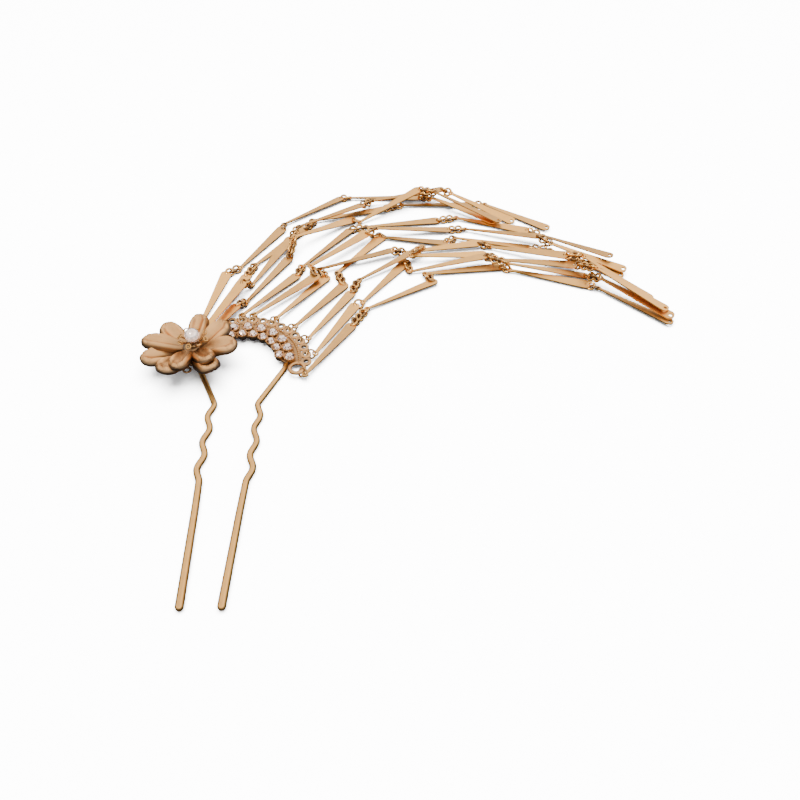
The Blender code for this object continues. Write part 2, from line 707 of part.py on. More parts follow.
def main():
    """Builds the hairpin."""
    clear_scene()
    parts = new_collection("buyao_hairpin")
    cutters = new_collection("joined_pieces")
    nodes = [make_frame(parts, cutters),
             make_petals("flower_lower_petals", LOWER_PETALS, LOWER_PETAL_WIDTH, LOWER_HUB_Z, parts, cutters),
             make_petals("flower_upper_petals", UPPER_PETALS, UPPER_PETAL_WIDTH, UPPER_HUB_Z, parts, cutters),
             make_stamens(parts, cutters),
             make_pearl(parts)]
    bar = flat_piece([bar_outline()], BAR_THICKNESS)
    for strand, points in zip(STRANDS, settle()):
        nodes.append(make_strand(strand, points, bar, parts, cutters))
    finish(nodes, parts)


if __name__ == "__main__":
    main()
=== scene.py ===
"""Dressed scene of a buyao hairpin that lies on a pale table.

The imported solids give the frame. Each of them is replaced by a detailed piece of the same form: bars
with their two holes, jump rings, gallery loops, cut stones in claw cups, petals with thick rims.
"""
import json
import math
from collections import namedtuple

import bpy
import numpy as np
from bpy.props import FloatProperty, FloatVectorProperty, IntProperty, PointerProperty
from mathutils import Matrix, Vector

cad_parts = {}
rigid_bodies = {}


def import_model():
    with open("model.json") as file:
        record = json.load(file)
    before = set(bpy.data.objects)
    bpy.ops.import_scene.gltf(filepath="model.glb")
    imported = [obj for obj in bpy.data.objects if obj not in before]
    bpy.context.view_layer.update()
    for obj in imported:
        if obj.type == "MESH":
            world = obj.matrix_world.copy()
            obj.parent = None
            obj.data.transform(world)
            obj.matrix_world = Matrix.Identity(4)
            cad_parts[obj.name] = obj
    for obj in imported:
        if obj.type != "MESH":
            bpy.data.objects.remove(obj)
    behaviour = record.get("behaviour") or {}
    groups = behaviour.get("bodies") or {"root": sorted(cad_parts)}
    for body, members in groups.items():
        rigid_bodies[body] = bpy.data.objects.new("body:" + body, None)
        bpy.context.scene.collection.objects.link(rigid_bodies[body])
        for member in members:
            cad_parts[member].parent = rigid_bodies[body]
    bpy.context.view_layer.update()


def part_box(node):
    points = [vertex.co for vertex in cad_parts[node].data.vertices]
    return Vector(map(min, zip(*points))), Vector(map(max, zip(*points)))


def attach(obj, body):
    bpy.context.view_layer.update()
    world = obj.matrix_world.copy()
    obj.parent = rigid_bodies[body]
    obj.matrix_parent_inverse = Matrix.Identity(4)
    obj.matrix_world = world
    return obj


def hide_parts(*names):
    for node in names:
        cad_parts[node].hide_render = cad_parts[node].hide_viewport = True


bl_info = {
    "name": "Buyao hairpin",
    "version": (1, 0, 0),
    "blender": (4, 5, 0),
    "location": "View3D > Sidebar > Hairpin",
    "description": "Builds the dressed pieces of a buyao hairpin round its packed solids",
    "category": "Add Mesh",
}

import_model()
MM = 0.001
WELD_STEP = 1e-5

# The lay of the solids, in millimetres round the middle of the crescent
FLOWER = (-12.6, 1.0)
PEARL_OFF_CENTRE = 1.0
PETAL_ROOT, PETAL_RISE, PETAL_CUP, PETAL_ROOT_SHARE = 1.6, 3.2, 1.1, 0.32
PETAL_FACE_SHARE, PETAL_FACE_END, PETAL_CLOSE = 0.8, 0.95, 0.7
PETAL_WALL_ROOM = 0.3
STAMENS = 8
FORK_TURN = math.radians(0.9)
FORK_OFFSET = 0.6
HEAD_SPREAD, WAVE_SPREAD, TIP_SPREAD = 23.2, 12.4, 8.9
SHOULDER_RUN, WAVE_PITCH, WAVE_COUNT, WAVE_HEIGHT = 13.3, 8.7, 3, 0.6
LEG_LENGTH, WIRE_AT_HEAD, WIRE_AT_TIP = 74.6, 1.5, 1.95
PLATE_BOTTOM, PLATE_TOP = 1.35, 2.15
PLATE_MIDDLE = 1.75
PLATE_INNER, PLATE_OUTER = 9.6, 16.9
PLATE_PAST_HALF = math.radians(6)
GALLERY_RADIUS = 18.0
GALLERY_PITCH = math.radians(9.4)
GALLERY_LOOPS = 20
LOOP_OUTER, LOOP_HOLE = 1.4, 0.75
GALLERY_FILLER_RADIUS = 18.75
RIM_BEAD_RADIUS = 16.1
POST_TOP = 4.04
END_RING_RADIUS = 15.8
END_RING_PAST_HALF = math.radians(7.8)
END_RING_MEAN, END_RING_WIRE = 1.98, 1.15
SMALL_END_RING_RADIUS = 14.3
SMALL_END_RING_PAST_HALF = math.radians(9.9)
SMALL_END_RING_MEAN, SMALL_END_RING_WIRE = 0.95, 0.6
HOOK_RING_RADIUS = 1.4
HOOK_RING_OUT = 0.15
HOOK_RING_ROLL = math.radians(36)
END_HOOK_ANGLE = math.radians(-47)
JUMP_RING_MEAN = 1.12
BAR_PITCH = 24.0
BAR_EYE = 0.95
BAR_END_INSET = 1.05
END_RING = -1

# The strands' route: the loop that each hangs on, how its hook ring leans, the first eye where a ring
# lies between, the other eyes, the bars' headings, and the height of every point that it runs through.
Strand = namedtuple("Strand", "name loop lean first stops headings heights")
STRANDS = (
    Strand("a", 14, 0, (-13.8, 17.4), ((-6.2, 44.1), (5.0, 68.2), (26.3, 84.3), (54.6, 82.0)),
           (81, 63, 41, 0, -33), (1.75, 1.2, 1.0, 1.0, 1.0, 1.0, 1.0, 1.0, 1.03, 2.5, 1.9)),
    Strand("b", 13, 0, None, ((-1.6, 45.6), (15.2, 70.3), (44.4, 79.8), (72.8, 80.2)),
           (71, 55, 17, 1, -36), (1.75, 1.0, 1.0, 1.0, 1.0, 1.0, 1.0, 1.0, 1.0, 1.0)),
    Strand("c", 15, 120, (-11.2, 9.7), ((-1.4, 35.6), (10.6, 63.6), (34.2, 80.9), (61.2, 83.4)),
           (72, 66, 34, 8, -34), (2.96, 4.8, 3.9, 1.0, 2.5, 3.2, 2.69, 1.94, 4.37, 3.38, 1.03)),
    Strand("d", 18, 120, (-15.0, 1.8), ((-2.0, 27.4), (10.2, 55.4), (30.2, 69.4), (56.0, 80.2)),
           (63.5, 64, 41, 34, -32), (2.96, 3.0, 2.73, 1.0, 1.03, 4.76, 1.0, 1.0, 5.22, 5.53, 2.8)),
    Strand("e", 10, 0, None, ((13.4, 45.0), (32.4, 66.6), (62.5, 71.9), (90.4, 61.6)),
           (55, 55, 9, -18, -38), (1.75, 1.0, 1.0, 1.0, 1.0, 1.0, 1.0, 1.0, 1.03, 3.65)),
    Strand("f", 9, 0, None, ((16.0, 42.2), (35.9, 62.4), (65.2, 65.4), (91.9, 53.9)),
           (46, 46, 6, -18, -29), (1.75, 2.59, 3.12, 3.24, 3.2, 1.0, 1.0, 3.19, 3.21, 1.9)),
    Strand("g", 7, 0, None, ((18.6, 42.6), (45.2, 52.3), (72.8, 55.2), (101.0, 45.4)),
           (57, 21, 9, -21, -42.5), (1.75, 1.0, 1.63, 2.52, 1.01, 1.9, 1.0, 3.99, 4.22, 1.0)),
    Strand("h", 5, 0, None, ((24.2, 41.5), (34.6, 61.2), (61.6, 60.3), (91.8, 53.6)),
           (57, 55, -9, -13, -34), (1.75, 1.0, 1.0, 1.0, 1.0, 1.0, 1.0, 1.0, 1.0, 1.0)),
    Strand("i", 3, 0, None, ((31.2, 38.0), (47.0, 47.4), (74.6, 48.5), (103.5, 38.4)),
           (62.5, 35, 9, -12, -43), (1.75, 1.0, 1.02, 3.39, 3.2, 1.0, 1.03, 2.63, 5.13, 2.93)),
    Strand("j", 1, 0, None, ((32.6, 27.2), (46.8, 42.2), (77.2, 43.4), (104.5, 36.0)),
           (65, 57, 12, -8, -42), (1.75, 1.0, 1.0, 1.0, 1.0, 3.23, 3.2, 1.01, 3.21, 1.9)),
    Strand("k", END_RING, 0, None, ((34.0, 24.2), (51.4, 41.0), (77.9, 43.0), (103.8, 34.0)),
           (61, 33, 9, -18, -41), (1.75, 1.0, 1.0, 1.0, 1.0, 1.0, 1.0, 1.0, 1.0, 1.0)),
)

Petal = namedtuple("Petal", "degrees share rise power")
LOWER_PETALS = (Petal(2, 0.98, 1.0, 0.8), Petal(47, 1.0, 1.0, 1.0), Petal(137, 0.96, 1.0, 1.5),
                Petal(197, 1.08, 0.62, 1.5), Petal(237, 0.95, 1.0, 1.5), Petal(309, 0.97, 1.0, 1.5))
UPPER_PETALS = (Petal(86, 0.98, 0.35, 1.5), Petal(170, 1.11, 0.15, 1.5), Petal(257, 0.82, 0.55, 1.5),
                Petal(312, 0.78, 0.7, 1.5))

StoneRow = namedtuple("StoneRow", "radius first pitch count girdle rim claws")
STONE_ROWS = (StoneRow(10.8, math.radians(10.5), math.radians(16.5), 8, 1.28, 3.15, 6),
              StoneRow(13.6, math.radians(3.5), math.radians(16.7), 8, 1.5, 3.35, 9))

# The camera, from the middle of the crescent in millimetres, and the lamps in metres and watts
CAMERA_PLACE = (43.7, -159.2, 152.1)
CAMERA_DOWN = 46
FLOOR_HALF = 3.0
Lamp = namedtuple("Lamp", "name place width power")
WASH = Lamp("wash", (0, 0.1, 1.2), 1.3, 270.0)
KEY = Lamp("key", (-0.25, -0.2, 0.6), 0.12, 2.0)

PEARL_LOW, PEARL_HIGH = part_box("pearl")
MIDDLE = np.array([(PEARL_LOW[0] + PEARL_HIGH[0]) / 2 - (FLOWER[0] + PEARL_OFF_CENTRE) * MM,
                   (PEARL_LOW[1] + PEARL_HIGH[1]) / 2 - FLOWER[1] * MM, 0.0])
PEARL_Z = (PEARL_LOW[2] + PEARL_HIGH[2]) / 2 / MM


# Surfaces

Shell = namedtuple("Shell", "points loops sizes tone")
PLAIN_TONE = 0.5


def rotation(angle, axis=2):
    """A turn about one axis, as a 3 by 3 matrix."""
    c, s = math.cos(angle), math.sin(angle)
    a, b = [(1, 2), (2, 0), (0, 1)][axis]
    matrix = np.eye(3)
    matrix[a, a], matrix[a, b], matrix[b, a], matrix[b, b] = c, -s, s, c
    return matrix


def polar(radius, angle, z=0.0):
    """The point at a radius and an angle, or many of them."""
    return np.stack(np.broadcast_arrays(radius * np.cos(angle), radius * np.sin(angle), z), axis=-1)


def moved(shell, matrix=None, shift=(0.0, 0.0, 0.0), tone=None):
    """A turned and moved copy of a shell."""
    points = shell.points if matrix is None else shell.points @ np.asarray(matrix).T
    new_tone = shell.tone if tone is None else np.full(len(shell.points), float(tone))
    return Shell(points + np.asarray(shift), shell.loops, shell.sizes, new_tone)


def merged(points):
    """The first index of every different point, and which of these each point is."""
    keys = np.round(points / WELD_STEP).astype(np.int64)
    _, first, which = np.unique(keys, axis=0, return_index=True, return_inverse=True)
    return first, which.reshape(-1)


def welded(points, quads):
    """A shell of quads whose equal points are one, so that seams and poles are closed."""
    first, which = merged(points)
    quads = which[quads]
    same = quads == np.roll(quads, -1, axis=1)
    whole = quads[same.sum(axis=1) == 0]
    pinched = quads[same.sum(axis=1) == 1]
    keep = ~(pinched == np.roll(pinched, -1, axis=1))
    triangles = pinched[keep].reshape(-1, 3)
    loops = np.concatenate([whole.reshape(-1), triangles.reshape(-1)])
    sizes = np.concatenate([np.full(len(whole), 4), np.full(len(triangles), 3)])
    return Shell(points[first], loops, sizes, np.full(len(first), PLAIN_TONE))


def sheet(grid):
    """The surface through a grid of points, rows by columns. Equal points are welded."""
    rows, columns = grid.shape[:2]
    index = np.arange(rows * columns).reshape(rows, columns)
    quads = np.stack([index[:-1, :-1], index[1:, :-1], index[1:, 1:], index[:-1, 1:]], axis=-1)
    return welded(grid.reshape(-1, 3), quads.reshape(-1, 4))


def gathered(shells):
    """Several shells as one."""
    starts = np.cumsum([0] + [len(s.points) for s in shells[:-1]])
    return Shell(np.concatenate([s.points for s in shells]),
                 np.concatenate([s.loops + start for s, start in zip(shells, starts)]),
                 np.concatenate([s.sizes for s in shells]),
                 np.concatenate([s.tone for s in shells]))


def turned(profile, steps):
    """A surface of revolution about Z. The (radius, height) pairs run from bottom to top."""
    profile = np.asarray(profile, dtype=float)
    angle = np.linspace(0, 2 * math.pi, steps + 1)
    angle[-1] = 0.0
    return sheet(polar(profile[:, 0][None, :], angle[:, None], profile[:, 1][None, :]))


def tube(path, radii, sides):
    """A round tube along a path: each ring is the path's point plus the radius times (side cos + up sin).

    The side is the cross product of +Z and the path's direction. Caps close on the end points.
    """
    radii = np.broadcast_to(radii, (len(path),))
    forward = np.gradient(path, axis=0)
    forward /= np.linalg.norm(forward, axis=1, keepdims=True)
    side = np.cross((0.0, 0.0, 1.0), forward)
    side /= np.linalg.norm(side, axis=1, keepdims=True)
    above = np.cross(forward, side)
    angle = np.linspace(0, 2 * math.pi, sides + 1)
    angle[-1] = 0.0
    grid = path[:, None] + radii[:, None, None] * (side[:, None] * np.cos(angle)[None, :, None]
                                                   + above[:, None] * np.sin(angle)[None, :, None])
    tips = [np.repeat(path[end][None, None], sides + 1, axis=1) for end in (0, -1)]
    return sheet(np.concatenate([tips[0], grid, tips[1]], axis=0))


def ring(mean, wire, sides=28, wire_sides=10):
    """A round ring in the XY plane: a circle of `wire` carried round a circle of radius `mean`."""
    around = np.linspace(0, 2 * math.pi, sides + 1)
    across = np.linspace(0, 2 * math.pi, wire_sides + 1)
    around[-1] = across[-1] = 0.0
    radius = mean + wire / 2 * np.cos(across)[None, :]
    return sheet(polar(radius, around[:, None], wire / 2 * np.sin(across)[None, :]))


def thickened(shell, thickness, edge, offset=0.0):
    """A shell given a wall and rounded edges by modifiers, which are then applied."""
    thing = as_object("thickened", [shell], [])
    raw = thing.data
    wall = thing.modifiers.new("wall", "SOLIDIFY")
    wall.thickness = thickness
    wall.offset = offset
    wall.use_even_offset = False
    rounding = thing.modifiers.new("edge", "BEVEL")
    rounding.width = edge
    rounding.segments = 2
    rounding.limit_method = "ANGLE"
    rounding.angle_limit = math.radians(50)
    depsgraph = bpy.context.evaluated_depsgraph_get()
    mesh = bpy.data.meshes.new_from_object(thing.evaluated_get(depsgraph))
    points = np.empty(len(mesh.vertices) * 3)
    mesh.vertices.foreach_get("co", points)
    loops = np.empty(len(mesh.loops), dtype=np.int64)
    mesh.loops.foreach_get("vertex_index", loops)
    sizes = np.empty(len(mesh.polygons), dtype=np.int64)
    mesh.polygons.foreach_get("loop_total", sizes)
    bpy.data.objects.remove(thing)
    bpy.data.meshes.remove(raw)
    bpy.data.meshes.remove(mesh)
    points = points.reshape(-1, 3)
    return Shell(points, loops, sizes, np.full(len(points), PLAIN_TONE))


def as_object(name, shells, materials, smooth=35.0):
    """An object of these shells. Edges sharper than `smooth` degrees stay sharp."""
    shell = gathered(shells)
    mesh = bpy.data.meshes.new(name)
    mesh.vertices.add(len(shell.points))
    mesh.vertices.foreach_set("co", shell.points.astype(np.float32).reshape(-1))
    mesh.loops.add(len(shell.loops))
    mesh.loops.foreach_set("vertex_index", shell.loops.astype(np.int32))
    mesh.polygons.add(len(shell.sizes))
    starts = np.concatenate([[0], np.cumsum(shell.sizes)[:-1]])
    mesh.polygons.foreach_set("loop_start", starts.astype(np.int32))
    mesh.update(calc_edges=True)
    mesh.validate()
    tones = mesh.attributes.new("tone", "FLOAT", "POINT")
    tones.data.foreach_set("value", shell.tone.astype(np.float32))
    mesh.polygons.foreach_set("use_smooth", np.full(len(mesh.polygons), smooth > 0))
    if smooth > 0:
        mesh.set_sharp_from_angle(angle=math.radians(smooth))
    for material in materials:
        mesh.materials.append(material)
    thing = bpy.data.objects.new(name, mesh)
    bpy.context.scene.collection.objects.link(thing)
    return thing


def in_row(shell):
    """A shell made in millimetres round the crescent's middle, in metres in the row frame."""
    return shell._replace(points=shell.points * MM + MIDDLE)


def finished(name, shells, material, nodes, smooth=35.0):
    """A piece of the hairpin that stands for these nodes."""
    thing = as_object(name, [in_row(shell) for shell in shells], [material], smooth)
    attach(thing, "root")
    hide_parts(*nodes)


# Materials

class Value:
    """A shader socket that can be added, subtracted, multiplied and divided."""

    def __init__(self, tree, socket):
        self.tree = tree
        self.socket = socket

    def math(self, operation, *others, clamp=False):
        """One maths node with this value first."""
        node = self.tree.nodes.new("ShaderNodeMath")
        node.operation = operation
        node.use_clamp = clamp
        for slot, value in zip(node.inputs, (self,) + others):
            if isinstance(value, Value):
                self.tree.links.new(value.socket, slot)
            else:
                slot.default_value = value
        return Value(self.tree, node.outputs[0])

    def __add__(self, other):
        return self.math("ADD", other)

    def __radd__(self, other):
        return self.math("ADD", other)

    def __sub__(self, other):
        return self.math("SUBTRACT", other)

    def __mul__(self, other):
        return self.math("MULTIPLY", other)

    def __rmul__(self, other):
        return self.math("MULTIPLY", other)

    def __truediv__(self, other):
        return self.math("DIVIDE", other)

    def clamped(self):
        """Held between 0 and 1."""
        return self.math("ADD", 0.0, clamp=True)

    def between(self, low, high):
        """0 at `low` and 1 at `high`, held between."""
        return ((self - low) / (high - low)).clamped()


class Finish:
    """A material with one surface shader, and short ways to add nodes to it."""

    def __init__(self, name, **constants):
        self.material = bpy.data.materials.new(name)
        self.material.use_nodes = True
        self.tree = self.material.node_tree
        self.shader = self.tree.nodes["Principled BSDF"]
        for key, value in constants.items():
            self.shader.inputs[key.replace("_", " ")].default_value = value

    def node(self, kind, output=0, settings=None, **inputs):
        """Any node. Inputs are given by name with _ for a space, settings are its own properties."""
        made = self.tree.nodes.new(kind)
        for key, value in (settings or {}).items():
            setattr(made, key, value)
        for key, value in inputs.items():
            slot = made.inputs[key.replace("_", " ")]
            if isinstance(value, Value):
                self.tree.links.new(value.socket, slot)
            else:
                slot.default_value = value
        return Value(self.tree, made.outputs[output])

    def place(self):
        """The object's own coordinates, in millimetres."""
        spot = self.node("ShaderNodeTexCoord", "Object")
        return self.vector("SCALE", spot, Scale=1 / MM)

    def vector(self, operation, first, **inputs):
        """One vector maths node on a value. Its other inputs are constants."""
        made = self.tree.nodes.new("ShaderNodeVectorMath")
        made.operation = operation
        self.tree.links.new(first.socket, made.inputs[0])
        for key, value in inputs.items():
            made.inputs[key].default_value = value
        return Value(self.tree, made.outputs[0])

    def noise(self, place, scale, detail=3.0, roughness=0.5):
        """Soft noise between 0 and 1."""
        return self.node("ShaderNodeTexNoise", "Fac", Vector=place, Scale=scale, Detail=detail,
                         Roughness=roughness)

    def tone(self):
        """The piece's light or dark tone: partly its own, partly painted shade and painted highlights."""
        return self.node("ShaderNodeAttribute", "Fac", {"attribute_name": "tone"})

    def mix(self, share, first, second):
        """A mix of two colours: the first where the share is 0, the second where it is 1."""
        made = self.tree.nodes.new("ShaderNodeMix")
        made.data_type = "RGBA"
        self.tree.links.new(share.socket, made.inputs[0])
        for index, value in ((6, first), (7, second)):
            if isinstance(value, Value):
                self.tree.links.new(value.socket, made.inputs[index])
            else:
                made.inputs[index].default_value = (*value, 1.0)
        return Value(self.tree, made.outputs[2])

    def bump(self, height, strength, distance):
        """Raises the surface's shading by a height."""
        made = self.tree.nodes.new("ShaderNodeBump")
        made.inputs["Strength"].default_value = strength
        made.inputs["Distance"].default_value = distance
        self.tree.links.new(height.socket, made.inputs["Height"])
        self.tree.links.new(made.outputs[0], self.shader.inputs["Normal"])

    def feed(self, **inputs):
        """Links values to the shader."""
        for key, value in inputs.items():
            self.tree.links.new(value.socket, self.shader.inputs[key.replace("_", " ")])


def gold(name, light, dark, roughness, grain):
    """Satin plated metal: soft patches of two tones and fine grain."""
    finish = Finish(name, Metallic=1.0)
    place = finish.place()
    patches = finish.noise(place, 0.35, 2.0)
    fine = finish.noise(place, 9.0, 4.0, 0.6)
    share = (finish.tone() + (patches - 0.5) * 0.4 + (fine - 0.5) * 0.25).clamped()
    finish.feed(Base_Color=finish.mix(share, tuple(dark), tuple(light)),
                Roughness=(roughness + (fine - 0.5) * 0.2 + (patches - 0.5) * 0.1).clamped())
    finish.bump(fine, grain, 0.00004)
    return finish.material


def crystal():
    """A cut stone: painted glints and painted dark reflections on its facets by their tone and noise, with
    a hard gloss.
    """
    finish = Finish("crystal", Metallic=1.0, Roughness=0.08, Coat_Weight=0.3)
    place = finish.place()
    # Noise that adds painted glints to the facets.
    painted_glints = finish.noise(place, 2.2, 2.0).between(0.35, 0.65)
    share = (finish.tone() * 0.75 + painted_glints * 0.35).clamped()
    # Painted dark and warm reflections on low-toned facets, white painted glints on high-toned ones.
    warm = finish.mix(share.between(0.15, 0.6), (0.06, 0.04, 0.03), (0.48, 0.27, 0.17))
    finish.feed(Base_Color=finish.mix(share.between(0.78, 0.95), warm, (1.0, 0.82, 0.74)))
    return finish.material


def pearl_skin(look):
    """A pearl: cream with pink and grey clouds under a clear coat."""
    finish = Finish("pearl_skin", Metallic=0.7, Roughness=0.22, Coat_Weight=0.5, Coat_Roughness=0.05)
    place = finish.place()
    clouds = finish.noise(place, 0.8, 2.0).between(0.3, 0.7)
    finish.feed(Base_Color=finish.mix(clouds, tuple(look.pearl), (1.0, 0.86, 0.78)))
    return finish.material


# Settings

class HairpinLook(bpy.types.PropertyGroup):
    """The colours of the hairpin."""
    light: FloatVectorProperty(name="Light gold", description="The metal's lighter tone", subtype="COLOR",
                               default=(1.0, 0.52, 0.14), min=0.0, max=1.0)
    dark: FloatVectorProperty(name="Dark gold", description="The metal's darker tone", subtype="COLOR",
                              default=(0.22, 0.13, 0.07), min=0.0, max=1.0)
    petal: FloatVectorProperty(name="Petal gold", description="The petals' and crescent's lighter tone",
                               subtype="COLOR", default=(0.9, 0.48, 0.18), min=0.0, max=1.0)
    shade: FloatVectorProperty(name="Petal shade", description="The petals' and crescent's darker tone",
                               subtype="COLOR", default=(0.12, 0.085, 0.055), min=0.0, max=1.0)
    pearl: FloatVectorProperty(name="Pearl", description="The pearl's darker clouds", subtype="COLOR",
                               default=(0.95, 0.70, 0.58), min=0.0, max=1.0)


class HairpinSizes(bpy.types.PropertyGroup):
    """Sizes of the detail that the solids leave out, in millimetres."""
    bar_wide: FloatProperty(name="Bar width", description="Width of a tassel bar near its round end",
                            default=3.3, min=1.5, max=4.0)
    bar_neck: FloatProperty(name="Bar neck", description="Width of a bar beside its eye",
                            default=1.0, min=0.5, max=1.6)
    bar_thickness: FloatProperty(name="Bar thickness", description="Thickness of a tassel bar", default=0.4,
                                 min=0.3, max=0.8)
    bar_hole: FloatProperty(name="Bar hole", description="Radius of the holes in a bar",
                            default=0.5, min=0.3, max=0.7)
    bar_roll: FloatProperty(name="Bar roll", description="How far bars are rolled, in degrees",
                            default=9.0, min=0.0, max=15.0)
    ring_wire: FloatProperty(name="Ring wire", description="Thickness of a jump ring's wire", default=0.76,
                             min=0.3, max=0.9)
    lower_petal_width: FloatProperty(name="Lower petal width", description="Width of a lower petal",
                                     default=6.0, min=4.0, max=8.0)
    upper_petal_width: FloatProperty(name="Upper petal width", description="Width of an upper petal",
                                     default=5.0, min=4.0, max=8.0)
    petal_rim: FloatProperty(name="Petal rim", description="Height of the bead along a petal's face",
                             default=0.3, min=0.0, max=0.5)
    petal_dish: FloatProperty(name="Petal dish", description="How far a petal's middle is sunk",
                              default=0.15, min=0.0, max=1.0)
    petal_lip: FloatProperty(name="Petal lip", description="How far a petal's tip turns up", default=0.7,
                             min=0.0, max=1.2)
    petal_flank: FloatProperty(name="Petal flank", description="How far a petal's flank slopes down",
                               default=0.9, min=0.0, max=1.4)
    petal_wall: FloatProperty(name="Petal wall", description="How far a petal's edge hangs down",
                              default=0.5, min=0.0, max=1.6)
    petal_reach: FloatProperty(name="Petal reach", description="How far a petal reaches",
                               default=12.6, min=9.0, max=15.0)
    petal_sheet: FloatProperty(name="Petal sheet", description="Thickness of a petal", default=0.5, min=0.3,
                               max=0.8)
    loop_hole: FloatProperty(name="Loop hole", description="Radius of a gallery loop's hole", default=0.58,
                             min=0.4, max=0.9)
    rim_beads: IntProperty(name="Rim beads", description="Beads along the crescent's outer row", default=62,
                           min=20, max=120)


def sizes():
    """The scene's size settings."""
    return bpy.context.scene.hairpin_sizes


def look():
    """The scene's colour settings."""
    return bpy.context.scene.hairpin_look


def shared(name, make):
    """A material that several operators use, made once."""
    return bpy.data.materials.get(name) or make()


def bar_gold():
    """The metal of the tassel bars."""
    return shared("bar_gold", lambda: gold("bar_gold", look().light, look().dark, 0.36, 0.35))


def ring_gold():
    """The metal of the rings."""
    return shared("ring_gold", lambda: gold("ring_gold", look().light, look().shade, 0.15, 0.1))


def frame_gold():
    """The metal of the fork."""
    return shared("frame_gold", lambda: gold("frame_gold", look().light, look().dark, 0.34, 0.3))


def petal_gold():
    """The metal of the petals and the crescent, browner in its shade."""
    return shared("petal_gold", lambda: gold("petal_gold", look().petal, look().shade, 0.4, 0.5))


# Tassels

def bar_shell(size):
    """A tassel bar with its two holes, from its eye at the origin along +X.

    One half of it is a grid between an inner line (the axis, and the edges of both holes) and an
    outer line: round the eye, out along a side that widens with the length's share to the power 1.05,
    and round an end whose sine and cosine are raised to 0.9. The other half mirrors it, and a wall with
    rounded edges makes it solid.
    """
    hole, wide, neck = size.bar_hole, size.bar_wide / 2, size.bar_neck / 2
    end = BAR_PITCH + BAR_END_INSET
    arc = np.linspace(math.pi, 0, 13)
    eye = polar(BAR_EYE, np.linspace(math.pi, math.asin(neck / BAR_EYE), 13))
    inner = [polar(hole, arc)]
    outer = [eye]
    run = np.linspace(0, 1, 16)[1:-1]
    start_x = BAR_EYE * math.cos(math.asin(neck / BAR_EYE))
    side_end = end - wide
    x = start_x + (side_end - start_x) * run
    flare = neck + (wide - neck) * run ** 1.05
    outer.append(np.stack([x, flare, 0 * x], axis=-1))
    inner_x = hole + (BAR_PITCH - 2 * hole) * run
    inner.append(np.stack([inner_x, 0 * inner_x, 0 * inner_x], axis=-1))
    angle = np.linspace(math.pi / 2, 0, 13)
    outer.append(np.stack([side_end + wide * np.cos(angle) ** 0.9, wide * np.sin(angle) ** 0.9, 0 * angle],
                          axis=-1))
    inner.append(polar(hole, arc) + np.array([BAR_PITCH, 0, 0]))
    inner, outer = np.concatenate(inner), np.concatenate(outer)
    inner = np.concatenate([[[-BAR_EYE, 0, 0]], inner, [[end, 0, 0]]])
    outer = np.concatenate([[[-BAR_EYE, 0, 0]], outer, [[end, 0, 0]]])
    share = np.linspace(0, 1, 4)[None, :, None]
    half = inner[:, None] * (1 - share) + outer[:, None] * share
    both = gathered([sheet(half[:, ::-1]), sheet(half * np.array([1, -1, 1]))])
    first, which = merged(both.points)
    flat = Shell(both.points[first], which[both.loops], both.sizes, both.tone[first])
    return thickened(flat, size.bar_thickness, 0.09)


def span_frame(start, end, roll):
    """Turns +X to the way from start to end, with +Z as near up as it goes, rolled about it."""
    forward = (end - start) / np.linalg.norm(end - start)
    side = np.cross((0.0, 0.0, 1.0), forward)
    side /= np.linalg.norm(side)
    above = np.cross(forward, side)
    return np.stack([forward, side, above], axis=1) @ rotation(roll, 0)


def gallery_angle(loop):
    """The angle of a gallery loop, counted from the right."""
    return math.pi / 2 + (loop - (GALLERY_LOOPS - 1) / 2) * GALLERY_PITCH


def end_ring_middle():
    """The middle of the ring at the right end of the crescent."""
    return polar(END_RING_RADIUS, -END_RING_PAST_HALF, PLATE_MIDDLE)


def hook_point(strand):
    """The middle of a strand's hook ring, the way out from its loop, and the ring's far side."""
    if strand.loop == END_RING:
        out = polar(1.0, END_HOOK_ANGLE)
        rim = end_ring_middle() + out * (END_RING_MEAN + HOOK_RING_OUT)
    else:
        angle = gallery_angle(strand.loop)
        out = polar(1.0, angle)
        rim = polar(GALLERY_RADIUS + (LOOP_OUTER + LOOP_HOLE) / 2 + HOOK_RING_OUT, angle, PLATE_MIDDLE)
    rim, out = rotation(FORK_TURN) @ rim, rotation(FORK_TURN) @ out
    lean = math.radians(strand.lean)
    far = rim + HOOK_RING_RADIUS * (math.cos(lean) * out + math.sin(lean) * np.array([0, 0, 1]))
    return rim, out, far


def route(strand):
    """The points that a strand runs through: its hook, then each bar's two holes."""
    rim, out, far = hook_point(strand)
    points = [] if strand.first is None else [far]
    eyes = [far] if strand.first is None else [np.array([*strand.first, 0.0])]
    eyes += [np.array([*stop, 0.0]) for stop in strand.stops]
    heights = list(strand.heights)[len(points):]
    for count, (eye, degrees) in enumerate(zip(eyes, strand.headings)):
        low, high = heights[2 * count], heights[2 * count + 1]
        level = math.sqrt(BAR_PITCH ** 2 - (high - low) ** 2)
        start = np.array([eye[0], eye[1], low])
        points += [start, start + polar(level, math.radians(degrees), high - low)]
    return rim, out, points


def joint_rings(start, end, wire, seed):
    """Jump rings from hole to hole, each turned across the one before and lapped by 1.5 wires.

    Their number is the nearest that gives the mean radius wanted, and their radius fills the gap. A
    ring leans by 50 degrees, or less where it would reach the table.
    """
    gap = np.linalg.norm(end - start)
    bite = 1.5 * wire
    count = max(1, round((gap - bite) / (2 * JUMP_RING_MEAN - bite)))
    mean = (gap + (count - 1) * bite) / (2 * count)
    shells = []
    for index in range(count):
        share = (mean + index * (2 * mean - bite)) / gap
        middle = start * (1 - share) + end * share
        room = max(0.2, (middle[2] - wire / 2 - 0.02) / mean)
        tilt = min(math.radians(50), math.asin(min(1.0, room)))
        roll = tilt if (index + seed) % 2 else -tilt
        tone = 0.5 + 0.35 * math.sin(2.1 * (index + seed))
        shells.append(moved(ring(mean, wire), span_frame(start, end, roll), middle, tone=tone))
    return shells


